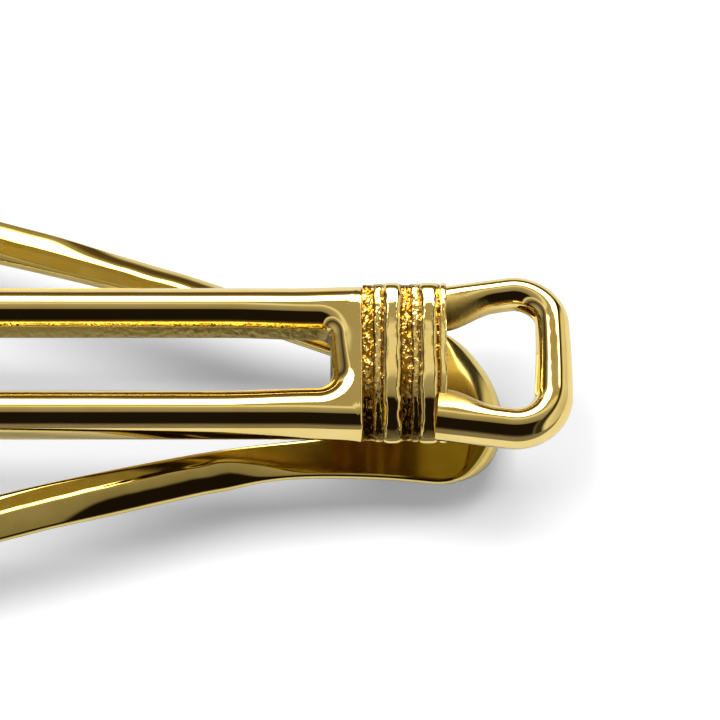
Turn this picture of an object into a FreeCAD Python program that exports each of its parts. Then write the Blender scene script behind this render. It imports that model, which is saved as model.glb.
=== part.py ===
"""Tie clip: a double-rail bar with ribbed collars and end loops, and a sprung wishbone jaw behind it.

Millimetres. X runs along the bar to the tip where the tie slips in, Y runs across it and Z points
out of its front. The parts are drawn about the middle of the bar and lifted at the end, so that
the clip lies on its back with the lowest edge of the jaw at Z = 0.
"""
import FreeCAD, Part
import math
import os

V = FreeCAD.Vector
QUARTER = 90.0
ALONG = V(1, 0, 0)
ACROSS = V(0, 1, 0)
UP = V(0, 0, 1)

# The bar: two rails closed by a cross bar at each end, with a collar and a loop past each cross bar
bar_length = 56.0
bar_width = 6.1
rail_width = 1.65
rail_height = 1.6
rail_front_round_share = 0.48
rail_side_round_share = 0.35
rail_back_round = 0.15
cross_bar_width = 1.15
cross_bar_round = 0.3
slot_corner = 0.45

# The collars: bindings over the rails, with ribs and beads and grooves between them
collar_length = 3.0
collar_overhang = 0.08
collar_crown = 0.14
collar_shoulder = 0.7
collar_shoulder_height = 0.1
collar_back_round = 0.5
groove_depth = 0.26
bead_sink = 0.1
rib_span_shares = ((0.25, 0.47), (0.64, 0.93))
bead_span_shares = ((0.06, 0.22), (0.5, 0.61))
rib_station_shares = (0.0, 0.08, 0.26, 0.5, 0.74, 0.92, 1.0)
rib_fall_shares = (1.0, 0.5, 0.12, 0.0, 0.12, 0.5, 1.0)

# The end loops: oval wire bent to a stirrup that is wider at its end than at the collar
loop_length = 4.5
loop_wire = 1.3
loop_height = 1.45
loop_neck_width = 6.1
loop_splay = 7.5
loop_corner = 1.35
loop_end_radius = 14.0

# The hinge: a box between the rails, a pin through its cheeks and two ears of the jaw on the pin
hinge_x = -3.0
pin_diameter = 0.6
pin_depth = 0.3
pin_fit = 0.02
ear_fit = 0.04
pin_end_gap = 0.05
hinge_box_length = 6.0
hinge_box_wall = 0.35
hinge_box_sink = 0.15
ear_thickness = 0.4
ear_side_gap = 0.06
ear_heel = 0.85
ear_stop_gap = 0.04

# The jaw: one stamping, with a tongue at the tip, a pear-shaped ring and a finger lever
sheet = 0.4
rim_radius = 0.65
rim_depth = 0.8
jaw_gap = 0.35
tongue_setback = 2.4
tongue_width = 6.1
ring_x = 4.6
ring_width = 14.25
neck_setback = 5.1
neck_radius = 12.0
lever_setback = 8.0
lever_width = 6.4
lever_fillet = 1.5
end_radius = 3.6
end_corner = 2.2
ring_band = 1.6
window_setback = 5.2
window_end_width = 2.9
window_corner = 1.1
bow_start = 5.0
bow_radius = 150.0
lever_bend_x = -2.0
lever_bend_radius = 6.0
lever_angle = 12.0

# The leaf spring: a strip riveted to the lever, with a toe that slides on the backs of the rails
leaf_thickness = 0.25
leaf_width = 4.4
leaf_foot = 3.6
leaf_rise = 16.0
leaf_bend = 1.5
leaf_toe_radius = 1.2
leaf_toe_turn = 20.0
leaf_gap = 0.05
rivet_setback = 4.0
rivet_shank = 0.9
rivet_head = 1.8
rivet_head_height = 0.4
rivet_fit = 0.02

# Cutters run past what they cut by this much, and points closer than this count as one
overrun = 1.0
same_place = 0.0002

slot_width = bar_width - 2 * rail_width
rail_front_round = rail_front_round_share * min(rail_width, rail_height)
rail_side_round = rail_side_round_share * rail_height
rail_front = rail_height / 2
rail_back = -rail_height / 2
link_half = bar_length / 2 - loop_length - collar_length
collar_half = link_half + collar_length
pin_z = -pin_depth
web_under = rail_front - hinge_box_sink - hinge_box_wall
ear_radius = web_under - ear_stop_gap - pin_z
ear_outside = slot_width / 2 - hinge_box_wall - ear_side_gap
jaw_top = rail_back - jaw_gap
tongue_reach = bar_length / 2 - tongue_setback
lever_reach = bar_length / 2 - lever_setback
neck_x = tongue_reach - neck_setback
window_reach = tongue_reach - window_setback
rivet_x = rivet_setback - lever_reach
jaw_room = lever_reach + rail_height


def polar(centre, radius, degrees):
    """Point at an angle round a centre, counted from the first axis towards the second."""
    turn = math.radians(degrees)
    return (centre[0] + radius * math.cos(turn), centre[1] + radius * math.sin(turn))


def tangent_slope(centre, radius, point):
    """Slope in degrees, falling along X, of the line through a point that touches a circle from above."""
    run = point[0] - centre[0]
    rise = point[1] - centre[1]
    return math.degrees(math.asin(radius / math.hypot(run, rise)) - math.atan2(rise, run))


def in_plan(point):
    return V(point[0], point[1], 0)


def in_side_view(point):
    return V(point[0], 0, point[1])


def chain(steps, place):
    """Edges through a list of points, where a step of two points is an arc by way of the first."""
    edges = []
    last = steps[0]
    for step in steps[1:]:
        if isinstance(step[0], tuple):
            way, end = step
            edges.append(Part.Arc(place(last), place(way), place(end)).toShape())
        else:
            end = step
            edges.append(Part.LineSegment(place(last), place(end)).toShape())
        last = end
    return edges


def run_back(steps, flip):
    """The same steps in the other direction, with each point changed by flip."""
    ends = [step[1] if isinstance(step[0], tuple) else step for step in steps]
    back = [flip(ends[-1])]
    for index in range(len(steps) - 1, 0, -1):
        end = flip(ends[index - 1])
        if isinstance(steps[index][0], tuple):
            back.append((flip(steps[index][0]), end))
        else:
            back.append(end)
    return back


def other_side(point):
    return (point[0], -point[1])


def unchanged(point):
    return point


def extruded(steps, place, start, travel):
    """Prism on a closed outline, moved to its start and drawn out along its travel."""
    face = Part.Face(Part.Wire(chain(steps, place)))
    face.translate(start)
    return face.extrude(travel)


def near(value, target):
    return abs(value - target) < same_place


def edges_where(shape, test):
    """Edges whose ends and middle all pass a test on a point."""
    picked = []
    for edge in shape.Edges:
        first, last = edge.ParameterRange
        points = [edge.valueAt(value) for value in (first, (first + last) / 2, last)]
        if all(test(point) for point in points):
            picked.append(edge)
    return picked


def plate(length, width, height):
    """Box with the origin at its centre."""
    return Part.makeBox(length, width, height, V(-length / 2, -width / 2, -height / 2))


def cylinder_across(diameter, length, x, z):
    """Cylinder along Y, centred on the XZ plane."""
    return Part.makeCylinder(diameter / 2, length, V(x, -length / 2, z), ACROSS)


def make_front_frame():
    """Two rails and two cross bars in one link, round on the front and flat on the back."""
    slot_half = link_half - cross_bar_width
    slot = plate(2 * slot_half, slot_width, rail_height + 2 * overrun)
    corners = [edge for edge in slot.Edges if near(edge.BoundBox.ZLength, rail_height + 2 * overrun)]
    link = plate(2 * link_half, bar_width, rail_height).cut(slot.makeFillet(slot_corner, corners))
    around_slot = edges_where(link, lambda p: near(p.z, rail_front) and abs(p.x) < slot_half + same_place
                              and abs(p.y) < slot_width / 2 + same_place)
    outside = edges_where(link, lambda p: near(p.z, rail_front) and near(abs(p.y), bar_width / 2))
    link = link.makeFillet(rail_front_round, around_slot + outside)
    ends = edges_where(link, lambda p: near(abs(p.x), link_half) and p.z > rail_back + same_place)
    link = link.makeFillet(cross_bar_round, ends)
    sides = edges_where(link, lambda p: near(p.z, rail_back) and near(abs(p.y), bar_width / 2))
    link = link.makeFillet(rail_side_round, sides)
    back = edges_where(link, lambda p: near(p.z, rail_back) and abs(p.x) < slot_half + same_place
                       and abs(p.y) < slot_width / 2 + same_place)
    return link.makeFillet(rail_back_round, back)


def collar_section(x, inset):
    """Section of a binding: flat on the back, with round corners and a low crown on the front."""
    half = bar_width / 2 + collar_overhang - inset
    shoulder = collar_shoulder - inset
    centre = (half - shoulder, collar_shoulder_height)
    crown = rail_front + collar_crown - inset
    lift = crown - collar_shoulder_height
    radius = (centre[0] ** 2 + lift ** 2 - shoulder ** 2) / (2 * (lift - shoulder))
    top = (0.0, crown - radius)
    lean = math.degrees(math.atan2(centre[1] - top[1], centre[0]))
    corner = (half - collar_back_round, rail_back + collar_back_round)
    right = [(0.0, rail_back), (corner[0], rail_back),
             (polar(corner, collar_back_round, -QUARTER / 2), (half, corner[1])),
             (half, collar_shoulder_height),
             (polar(centre, shoulder, lean / 2), polar(centre, shoulder, lean)),
             (polar(top, radius, (lean + QUARTER) / 2), (0.0, crown))]
    left = run_back(right, lambda point: (-point[0], point[1]))
    edges = chain(right, lambda point: V(x, point[0], point[1]))
    edges += chain(left, lambda point: V(x, point[0], point[1]))
    return Part.Wire(edges)


def collar_ring(span, sink, depth):
    """One rib or bead, swollen between the two ends of its share of the collar."""
    start = link_half + span[0] * collar_length
    width = (span[1] - span[0]) * collar_length
    sections = [collar_section(start + station * width, sink + fall * depth)
                for station, fall in zip(rib_station_shares, rib_fall_shares)]
    return Part.makeLoft(sections, True, True)


def make_collar():
    """Ribs and beads over a core, which shows as grooves between them."""
    core = Part.makeLoft([collar_section(x, groove_depth) for x in (link_half, collar_half)], True, True)
    for span in rib_span_shares:
        core = core.fuse(collar_ring(span, 0, groove_depth))
    for span in bead_span_shares:
        core = core.fuse(collar_ring(span, bead_sink, groove_depth - bead_sink))
    return core.removeSplitter()


def make_loop():
    """Wire stirrup: splayed arms from the collar's face, round corners and a slightly bowed end."""
    end_x = bar_length / 2 - loop_wire / 2
    arm_y = (loop_neck_width - loop_wire) / 2
    slope = math.tan(math.radians(loop_splay))
    offset = arm_y - collar_half * slope - loop_corner / math.cos(math.radians(loop_splay))
    end_centre = (end_x - loop_end_radius, 0.0)
    square = 1 + slope ** 2
    middle = slope * offset - end_centre[0]
    rest = end_centre[0] ** 2 + offset ** 2 - (loop_end_radius - loop_corner) ** 2
    corner_x = (-middle + math.sqrt(middle ** 2 - square * rest)) / square
    corner = (corner_x, slope * corner_x + offset)
    arm_turn = QUARTER + loop_splay
    end_turn = math.degrees(math.atan2(corner[1], corner[0] - end_centre[0]))
    start_x = collar_half - overrun
    half = [(start_x, arm_y - overrun * slope),
            polar(corner, loop_corner, arm_turn),
            (polar(corner, loop_corner, (arm_turn + end_turn) / 2), polar(corner, loop_corner, end_turn)),
            (polar(end_centre, loop_end_radius, end_turn / 2), (end_x, 0.0))]
    path = Part.Wire(chain(half + run_back(half, other_side)[1:], in_plan))
    heading = in_plan(polar((0, 0), 1, loop_splay))
    ends = (UP * (loop_height / 2), heading.cross(UP) * (loop_wire / 2))
    oval = Part.Ellipse(in_plan(half[0]) + ends[0], in_plan(half[0]) + ends[1], in_plan(half[0]))
    wire = path.makePipeShell([Part.Wire(oval.toShape())], True, False)
    stub = plate(2 * overrun, bar_width + 2 * overrun, rail_height)
    stub.translate(V(collar_half - overrun, 0, 0))
    return wire.cut(stub)


def make_hinge_box():
    """Channel between the rails, with its web to the front and the pin through its cheeks."""
    top = rail_front - hinge_box_sink
    box = Part.makeBox(hinge_box_length, slot_width, top - rail_back,
                       V(hinge_x - hinge_box_length / 2, -slot_width / 2, rail_back))
    room = Part.makeBox(hinge_box_length + 2 * overrun, slot_width - 2 * hinge_box_wall,
                        web_under - rail_back + overrun,
                        V(hinge_x - hinge_box_length / 2 - overrun, hinge_box_wall - slot_width / 2,
                          rail_back - overrun))
    hole = cylinder_across(pin_diameter + 2 * pin_fit, slot_width + 2 * overrun, hinge_x, pin_z)
    return box.cut(room).cut(hole)


def make_hinge_pin():
    """Plain pin, held endways by the two rails."""
    return cylinder_across(pin_diameter, slot_width - 2 * pin_end_gap, hinge_x, pin_z)


def bend_centre():
    reach = lever_bend_radius * math.tan(math.radians(lever_angle / 2))
    return (lever_bend_x + reach, jaw_top - lever_bend_radius)


def jaw_curve(depth):
    """Side view of the jaw from the lever to the tongue, at a depth below its upper face."""
    centre = bend_centre()
    bend = lever_bend_radius - depth
    foot = polar(centre, bend, QUARTER + lever_angle)
    far = polar(foot, bar_length, 2 * QUARTER + lever_angle)
    bow = (bow_start, jaw_top - bow_radius)
    turn = math.degrees(math.asin((tongue_reach + overrun - bow_start) / bow_radius))
    return [far, foot, (polar(centre, bend, QUARTER + lever_angle / 2), polar(centre, bend, QUARTER)),
            polar(bow, bow_radius - depth, QUARTER),
            (polar(bow, bow_radius - depth, QUARTER - turn / 2),
             polar(bow, bow_radius - depth, QUARTER - turn))]


def jaw_height(x):
    """Height of the jaw's upper face."""
    centre = bend_centre()
    foot = polar(centre, lever_bend_radius, QUARTER + lever_angle)
    if x < foot[0]:
        return foot[1] - (foot[0] - x) * math.tan(math.radians(lever_angle))
    if x < centre[0]:
        return centre[1] + math.sqrt(lever_bend_radius ** 2 - (x - centre[0]) ** 2)
    if x < bow_start:
        return jaw_top
    return jaw_top - bow_radius + math.sqrt(bow_radius ** 2 - (x - bow_start) ** 2)


def jaw_slab(upper, lower):
    """Everything between two depths of the jaw's side view."""
    steps = jaw_curve(upper) + run_back(jaw_curve(lower), unchanged)
    steps.append(steps[0])
    return extruded(steps, in_side_view, ACROSS * -ring_width, ACROSS * (2 * ring_width))


def oval_end(reach, half, inset, outward):
    """Half of a blunt round end: from its tip on the axis to where its straight side starts."""
    centre = (reach - end_radius, 0.0)
    span = end_radius - end_corner
    corner = (centre[0] + math.sqrt(span ** 2 - (half - end_corner) ** 2), half - end_corner)
    turn = math.degrees(math.atan2(corner[1], corner[0] - centre[0]))
    large = end_radius - inset
    small = end_corner - inset
    steps = [(reach - inset, 0.0),
             (polar(centre, large, turn / 2), polar(centre, large, turn)),
             (polar(corner, small, (turn + QUARTER) / 2), polar(corner, small, QUARTER))]
    if outward:
        return steps
    return run_back(steps, lambda point: (-point[0], point[1]))


def jaw_outline(inset):
    """Plan of the jaw: tongue, neck, flare, ring and lever on one side, then the same on the other."""
    tongue = tongue_width / 2
    lever = lever_width / 2
    ring = ring_width / 2
    centre = (ring_x, 0.0)
    flare_angle = tangent_slope(centre, ring, (neck_x, tongue))
    neck = (neck_x + neck_radius * math.tan(math.radians(flare_angle / 2)), tongue + neck_radius)
    fillet = (ring_x - math.sqrt((ring + lever_fillet) ** 2 - (lever + lever_fillet) ** 2),
              lever + lever_fillet)
    lean = math.degrees(math.atan2(fillet[1], fillet[0] - ring_x))
    inner = neck_radius + inset
    back = lever_fillet + inset
    half = oval_end(tongue_reach, tongue, inset, True)
    half += [polar(neck, inner, -QUARTER),
             (polar(neck, inner, -QUARTER - flare_angle / 2), polar(neck, inner, -QUARTER - flare_angle)),
             polar(centre, ring - inset, QUARTER - flare_angle),
             (polar(centre, ring - inset, (QUARTER - flare_angle + lean) / 2),
              polar(centre, ring - inset, lean)),
             (polar(fillet, back, (lean - 2 * QUARTER - QUARTER) / 2), polar(fillet, back, -QUARTER))]
    half += oval_end(lever_reach, lever, inset, False)
    return half + run_back(half, other_side)[1:]


def window_outline():
    """Plan of the open middle of the ring, which runs on into the tongue."""
    radius = ring_width / 2 - ring_band
    centre = (ring_x, 0.0)
    window_angle = tangent_slope(centre, radius, (window_reach, window_end_width / 2))
    slope = math.radians(window_angle)
    side = polar(centre, radius, QUARTER - window_angle)
    corner_x = window_reach - window_corner
    corner = (corner_x, side[1] - (corner_x - side[0]) * math.tan(slope) - window_corner / math.cos(slope))
    half = [(window_reach, 0.0), (window_reach, corner[1]),
            (polar(corner, window_corner, (QUARTER - window_angle) / 2),
             polar(corner, window_corner, QUARTER - window_angle)),
            side,
            (polar(centre, radius, (3 * QUARTER - window_angle) / 2), polar(centre, radius, 2 * QUARTER))]
    return half + run_back(half, other_side)[1:]


def jaw_blank(inset, lower, radius):
    """Stamped form with its upper rim rolled over all round."""
    prism = extruded(jaw_outline(inset), in_plan, UP * -jaw_room, UP * jaw_room)
    blank = prism.common(jaw_slab(inset, lower))
    upper = edges_where(blank, lambda p: jaw_height(p.x) - p.z < (inset + lower) / 2)
    return blank.makeFillet(radius, [edge for edge in upper if not near(edge.BoundBox.XLength, 0)])


def make_ears():
    """Two upright lugs with a round back and a square heel, which stops under the hinge box's web."""
    heel_x = hinge_x + ear_heel
    low = jaw_top - rim_depth
    centre = (hinge_x, pin_z)
    steps = [(heel_x, low), (heel_x, pin_z + ear_radius), (hinge_x, pin_z + ear_radius),
             (polar(centre, ear_radius, QUARTER + QUARTER / 2), polar(centre, ear_radius, 2 * QUARTER)),
             (hinge_x - ear_radius, low), (heel_x, low)]
    over = jaw_slab(-(rail_height + jaw_gap), sheet / 2)
    hole = cylinder_across(pin_diameter + 2 * ear_fit, slot_width, hinge_x, pin_z)
    ears = []
    for start in (-ear_outside, ear_outside - ear_thickness):
        ear = extruded(steps, in_side_view, ACROSS * start, ACROSS * ear_thickness)
        ears.append(ear.common(over).cut(hole))
    return ears


def lever_frame():
    """Place of the rivet on the lever's upper face, with Z square to it."""
    return FreeCAD.Placement(V(rivet_x, 0, jaw_height(rivet_x)), FreeCAD.Rotation(ACROSS, -lever_angle))


def rivet_hole():
    hole = Part.makeCylinder(rivet_shank / 2 + rivet_fit, 2 * (sheet + overrun), UP * -(sheet + overrun))
    hole.Placement = lever_frame()
    return hole


def make_jaw():
    shell = jaw_blank(0, rim_depth, rim_radius).cut(jaw_blank(sheet, rim_depth + overrun, rim_radius - sheet))
    jaw = shell.cut(extruded(window_outline(), in_plan, UP * -jaw_room, UP * jaw_room))
    for ear in make_ears():
        jaw = jaw.fuse(ear)
    return jaw.cut(rivet_hole())


def leaf_side(offset):
    """One face of the leaf in side view, at an offset from its middle towards the bar."""
    rising = lever_angle + leaf_rise
    seat = (rivet_x, jaw_height(rivet_x))
    middle = polar(seat, leaf_thickness / 2, QUARTER + lever_angle)
    heel = polar(middle, leaf_foot / 2, 2 * QUARTER + lever_angle)
    ball = polar(middle, leaf_foot / 2, lever_angle)
    bend = polar(ball, leaf_bend, QUARTER + lever_angle)
    foot = polar(bend, leaf_bend, rising - QUARTER)
    highest = rail_back - leaf_gap - leaf_thickness / 2
    rise = highest - leaf_toe_radius * (1 - math.cos(math.radians(rising))) - foot[1]
    top = polar(foot, rise / math.sin(math.radians(rising)), rising)
    toe = polar(top, leaf_toe_radius, rising - QUARTER)
    inner = leaf_bend - offset
    outer = leaf_toe_radius + offset
    return [polar(heel, offset, QUARTER + lever_angle),
            polar(ball, offset, QUARTER + lever_angle),
            (polar(bend, inner, lever_angle + leaf_rise / 2 - QUARTER), polar(bend, inner, rising - QUARTER)),
            polar(toe, outer, QUARTER + rising),
            (polar(toe, outer, QUARTER + (rising - leaf_toe_turn) / 2),
             polar(toe, outer, QUARTER - leaf_toe_turn))]


def make_leaf_spring():
    steps = leaf_side(leaf_thickness / 2) + run_back(leaf_side(-leaf_thickness / 2), unchanged)
    steps.append(steps[0])
    leaf = extruded(steps, in_side_view, ACROSS * (-leaf_width / 2), ACROSS * leaf_width)
    return leaf.cut(rivet_hole())


def rivet_cap(base, direction):
    """Low domed head on a flat base."""
    radius = ((rivet_head / 2) ** 2 + rivet_head_height ** 2) / (2 * rivet_head_height)
    ball = Part.makeSphere(radius, UP * (base + direction * (rivet_head_height - radius)))
    side = base if direction > 0 else base - rivet_head_height
    return ball.common(Part.makeCylinder(rivet_head, rivet_head_height, UP * side))


def make_spring_rivet():
    """Shank through the leaf and the lever, with a head on each side."""
    rivet = Part.makeCylinder(rivet_shank / 2, sheet + leaf_thickness, UP * -sheet)
    rivet = rivet.fuse(rivet_cap(leaf_thickness, 1)).fuse(rivet_cap(-sheet, -1))
    rivet.Placement = lever_frame()
    return rivet


collar = make_collar()
loop = make_loop()
centre = V(0, 0, 0)
parts = {
    "front_frame": make_front_frame(),
    "tip_collar": collar,
    "tail_collar": collar.mirror(centre, ALONG),
    "tip_loop": loop,
    "tail_loop": loop.mirror(centre, ALONG),
    "hinge_box": make_hinge_box(),
    "hinge_pin": make_hinge_pin(),
    "clip_jaw": make_jaw(),
    "leaf_spring": make_leaf_spring(),
    "spring_rivet": make_spring_rivet(),
}
lift = -min(shape.optimalBoundingBox(False, False).ZMin for shape in parts.values())

os.makedirs("parts", exist_ok=True)
for name, shape in parts.items():
    shape.translate(UP * lift)
    shape.exportStep("parts/" + name + ".step")
    box = shape.optimalBoundingBox(False, False)
    print(name, "solids", len(shape.Solids), "valid", shape.isValid(), "volume", round(shape.Volume, 3),
          "x", round(box.XMin, 3), round(box.XMax, 3), "y", round(box.YMin, 3), round(box.YMax, 3),
          "z", round(box.ZMin, 3), round(box.ZMax, 3))
print("lift", round(lift, 4), "pin height", round(lift + pin_z, 4), "rail back", round(lift + rail_back, 4))
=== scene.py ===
import math

import bmesh
import bpy
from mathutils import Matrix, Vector
from mathutils import noise as ripple
from mathutils.geometry import delaunay_2d_cdt


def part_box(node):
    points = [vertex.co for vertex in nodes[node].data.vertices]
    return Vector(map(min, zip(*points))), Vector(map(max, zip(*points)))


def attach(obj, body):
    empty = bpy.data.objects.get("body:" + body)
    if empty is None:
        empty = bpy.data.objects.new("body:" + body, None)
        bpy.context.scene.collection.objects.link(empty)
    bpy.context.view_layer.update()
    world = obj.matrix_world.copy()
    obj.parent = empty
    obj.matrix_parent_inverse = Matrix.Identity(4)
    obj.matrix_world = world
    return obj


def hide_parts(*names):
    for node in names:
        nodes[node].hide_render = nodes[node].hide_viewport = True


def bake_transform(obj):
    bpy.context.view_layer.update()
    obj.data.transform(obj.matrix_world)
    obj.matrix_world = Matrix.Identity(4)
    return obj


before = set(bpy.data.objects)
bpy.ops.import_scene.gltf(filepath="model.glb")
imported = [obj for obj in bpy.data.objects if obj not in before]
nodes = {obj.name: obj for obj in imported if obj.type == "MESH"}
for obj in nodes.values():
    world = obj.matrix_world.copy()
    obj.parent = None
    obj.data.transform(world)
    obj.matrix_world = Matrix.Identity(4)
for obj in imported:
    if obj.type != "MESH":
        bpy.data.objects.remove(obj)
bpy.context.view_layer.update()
scene = bpy.context.scene
MM = 0.001


# Front frame: two rails and two cross bars cast in one link of brass, gold plated and polished by hand
# on a mop. Its front is round and bright, and the walls of the slot keep the skin of the casting.
class Value:
    """A socket that takes Python's operators, each of which adds a Math node to its tree."""

    def __init__(self, tree, socket=None):
        self.tree = tree
        self.socket = socket

    def add(self, kind, settings=None, sockets=None, out=0):
        """One node: its settings first, then the values or links of its sockets."""
        node = self.tree.nodes.new(kind)
        for key, setting in (settings or {}).items():
            if key == "stops":
                ramp = node.color_ramp.elements
                while len(ramp) < len(setting):
                    ramp.new(1.0)
                for stop, (place, colour) in zip(ramp, setting):
                    stop.position = place
                    stop.color = (*colour, 1.0)
            else:
                setattr(node, key, setting)
        for key, given in (sockets or {}).items():
            if isinstance(given, Value):
                self.tree.links.new(given.socket, node.inputs[key])
            else:
                node.inputs[key].default_value = given
        return Value(self.tree, node.outputs[out])

    def maths(self, operation, *given):
        return self.add("ShaderNodeMath", {"operation": operation}, dict(enumerate((self, *given))))

    def __add__(self, other):
        return self.maths("ADD", other)

    def __sub__(self, other):
        return self.maths("SUBTRACT", other)

    def __mul__(self, other):
        return self.maths("MULTIPLY", other)

    def __truediv__(self, other):
        return self.maths("DIVIDE", other)

    def __pow__(self, other):
        return self.maths("POWER", other)

    def __rsub__(self, other):
        return self * -1 + other

    def __abs__(self):
        return self.maths("ABSOLUTE")

    __radd__ = __add__
    __rmul__ = __mul__

    def at_least(self, other):
        return self.maths("MAXIMUM", other)

    def axis(self, index):
        return self.add("ShaderNodeSeparateXYZ", {}, {0: self}, index)

    def between(self, low, high):
        """0 below the low value, 1 above the high one and a smooth step between them."""
        return self.add("ShaderNodeMapRange", {"interpolation_type": "SMOOTHSTEP"},
                        {"Value": self, "From Min": low, "From Max": high})

    def noise(self, scale, detail=2.0, rough=0.5):
        return self.add("ShaderNodeTexNoise", {}, {"Vector": self, "Scale": scale, "Detail": detail,
                                                   "Roughness": rough}, "Fac")

    def stretched(self, along, across, up):
        """The same place with its three axes scaled."""
        return self.add("ShaderNodeMapping", {"vector_type": "POINT"},
                        {"Vector": self, "Scale": (along, across, up)})

    def blend(self, first, second):
        """Colour that goes from the first to the second as this value goes from 0 to 1."""
        return self.add("ShaderNodeMix", {"data_type": "RGBA"}, {0: self, 6: first, 7: second}, 2)


GOLD = (0.94, 0.73, 0.27, 1.0)
DEEP_GOLD = (0.90, 0.66, 0.20, 1.0)
MOTTLE_SCALE = 0.9
SCRATCH_STRETCH = (0.4, 6.0, 6.0)
WAVE_STRETCH = (0.45, 1.0, 1.0)
GRAIN_STRETCH = (1.6, 0.6, 0.6)
GRAIN_SCALE = 5.0
DARK_ROUGHNESS, SCRATCH_ROUGHNESS, MOTTLE_ROUGHNESS = 0.11, 0.04, 0.03


def new_material(name):
    """Material with a bare metal shader, and the place on the piece in millimetres."""
    material = bpy.data.materials.new(name)
    material.use_nodes = True
    tree = material.node_tree
    shader = tree.nodes["Principled BSDF"]
    shader.inputs["Metallic"].default_value = 1.0
    place = Value(tree).add("ShaderNodeTexCoord", {}, {}, "Object").stretched(1 / MM, 1 / MM, 1 / MM)
    return material, tree, shader, place


def finish_gold(name, colours, waves, wave_depth, dull, dark_where, dark_colour, grain, painted_shade=None):
    """Plated gold with the waves and scratches of the mop. Functions of the place say where it is dull, dark
    and in painted shade, and the grain roughens what is dark."""
    material, tree, shader, place = new_material(name)
    mottle = place.noise(MOTTLE_SCALE, 3.0)
    scratch = place.stretched(*SCRATCH_STRETCH).noise(3.0, 4.0, 0.7)
    dark = dark_where(place)
    paint = dark.blend(mottle.between(0.35, 0.8).blend(*colours), dark_colour)
    # Painted shade goes over the rest, where a piece is given it.
    if painted_shade:
        shade_where, shade_colour = painted_shade
        paint = shade_where(place).blend(paint, shade_colour)
    worn = scratch.between(0.5, 0.85) * SCRATCH_ROUGHNESS + mottle.between(0.55, 0.8) * MOTTLE_ROUGHNESS
    roughness = dull(place) + worn + dark * DARK_ROUGHNESS
    tree.links.new(paint.socket, shader.inputs["Base Color"])
    tree.links.new(roughness.socket, shader.inputs["Roughness"])
    height = place.stretched(*WAVE_STRETCH).noise(waves, 1.0) * wave_depth
    if grain:
        height = height + place.stretched(*GRAIN_STRETCH).noise(GRAIN_SCALE, 1.0) * dark * grain
    bump = height.add("ShaderNodeBump", {}, {"Strength": 1.0, "Distance": MM, "Height": height}, "Normal")
    tree.links.new(bump.socket, shader.inputs["Normal"])
    return material


def span(node):
    """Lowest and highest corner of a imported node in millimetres."""
    low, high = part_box(node)
    return low / MM, high / MM


def smooth(value, low, high):
    """0 below the low value, 1 above the high one and a smooth step between them."""
    share = min(max((value - low) / (high - low), 0.0), 1.0)
    return share * share * (3 - 2 * share)


def arc(centre, radius, start, end, count):
    """Points on an arc between two angles in degrees."""
    turns = [math.radians(start + (end - start) * i / count) for i in range(count + 1)]
    return [(centre[0] + radius * math.cos(turn), centre[1] + radius * math.sin(turn)) for turn in turns]


def line(start, end, count):
    """Points of a straight run, without its first."""
    return [(start[0] + (end[0] - start[0]) * i / count, start[1] + (end[1] - start[1]) * i / count)
            for i in range(1, count + 1)]


def skin(name, rows, material, ring=False):
    """Smooth mesh over a row of closed outlines in millimetres, joined end to end or shut at both ends."""
    shape = bmesh.new()
    grid = [[shape.verts.new(Vector(point) * MM) for point in row] for row in rows]
    for near, far in zip(grid, grid[1:] + (grid[:1] if ring else [])):
        for i in range(len(near)):
            j = (i + 1) % len(near)
            shape.faces.new((near[i], near[j], far[j], far[i])).smooth = True
    if not ring:
        shape.faces.new(reversed(grid[0]))
        shape.faces.new(grid[-1])
    bmesh.ops.recalc_face_normals(shape, faces=shape.faces)
    mesh = bpy.data.meshes.new(name)
    shape.to_mesh(mesh)
    shape.free()
    mesh.materials.append(material)
    return mesh


def add_piece(name, mesh, body, node):
    """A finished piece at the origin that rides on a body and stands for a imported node."""
    piece = bpy.data.objects.new(name, mesh)
    scene.collection.objects.link(piece)
    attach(piece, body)
    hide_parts(node)


link_low, link_high = span("front_frame")
LINK_HALF = link_high.x
BAR_HALF = link_high.y
BAR_BACK, BAR_FRONT = link_low.z, link_high.z
BAR_MIDDLE = (BAR_BACK + BAR_FRONT) / 2
CROSS_BAR = 1.15
RAIL = 1.8
SLOT_END = LINK_HALF - CROSS_BAR
SLOT_HALF = BAR_HALF - RAIL
SLOT_CORNER = 0.45
SLOT_NARROWING = 0.1
NARROWS_FROM, NARROWS_TO = 15.5, 19.0
LINK_CORNER = 0.12
FLARE = 0.06
FLARES_FROM = 18.0
SLOT_HEEL, RAIL_HEEL, END_HEEL = 0.3, 0.45, 0.15
FRONT_STEPS, RAIL_STEPS, SIDE_STEPS, BEND_STEPS, END_STEPS = 56, 48, 9, 6, 10
CREST_ROUND = 0.66
FRONT_SHOULDER = (24.0, 0.72)
BACK_SHOULDER = (7.0, 1.1)
END_SHOULDER = (0.0, 0.1)
HEEL_CHANGES = (5, 15)
# The skin of the casting fades over these distances from the slot's edge and depths below the front
SKIN_BESIDE, SKIN_BELOW = (0.02, 0.2), (0.65, 0.4)
MIRROR_ROUGHNESS, MIRROR_UNEVEN = 0.035, 0.03


def shoulder_drop(gap, lean, side_round):
    """How far the front lies below its crest at a gap from an edge: a tight crest, then a rounder side."""
    tilt = math.radians(lean)
    side = side_round * (1 - math.sin(tilt))
    reach = side + CREST_ROUND * math.sin(tilt)
    if gap >= reach:
        return 0.0
    if gap > side:
        return CREST_ROUND - math.sqrt(CREST_ROUND ** 2 - (reach - gap) ** 2)
    foot = CREST_ROUND * (1 - math.cos(tilt)) + side_round * math.cos(tilt)
    return foot - math.sqrt(max(side_round ** 2 - (side_round - max(gap, 0.0)) ** 2, 0.0))


def slot_edge(x):
    """Half of the slot's width, which narrows a little at the collar."""
    return SLOT_HALF - SLOT_NARROWING * smooth(x, NARROWS_FROM, NARROWS_TO)


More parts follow.
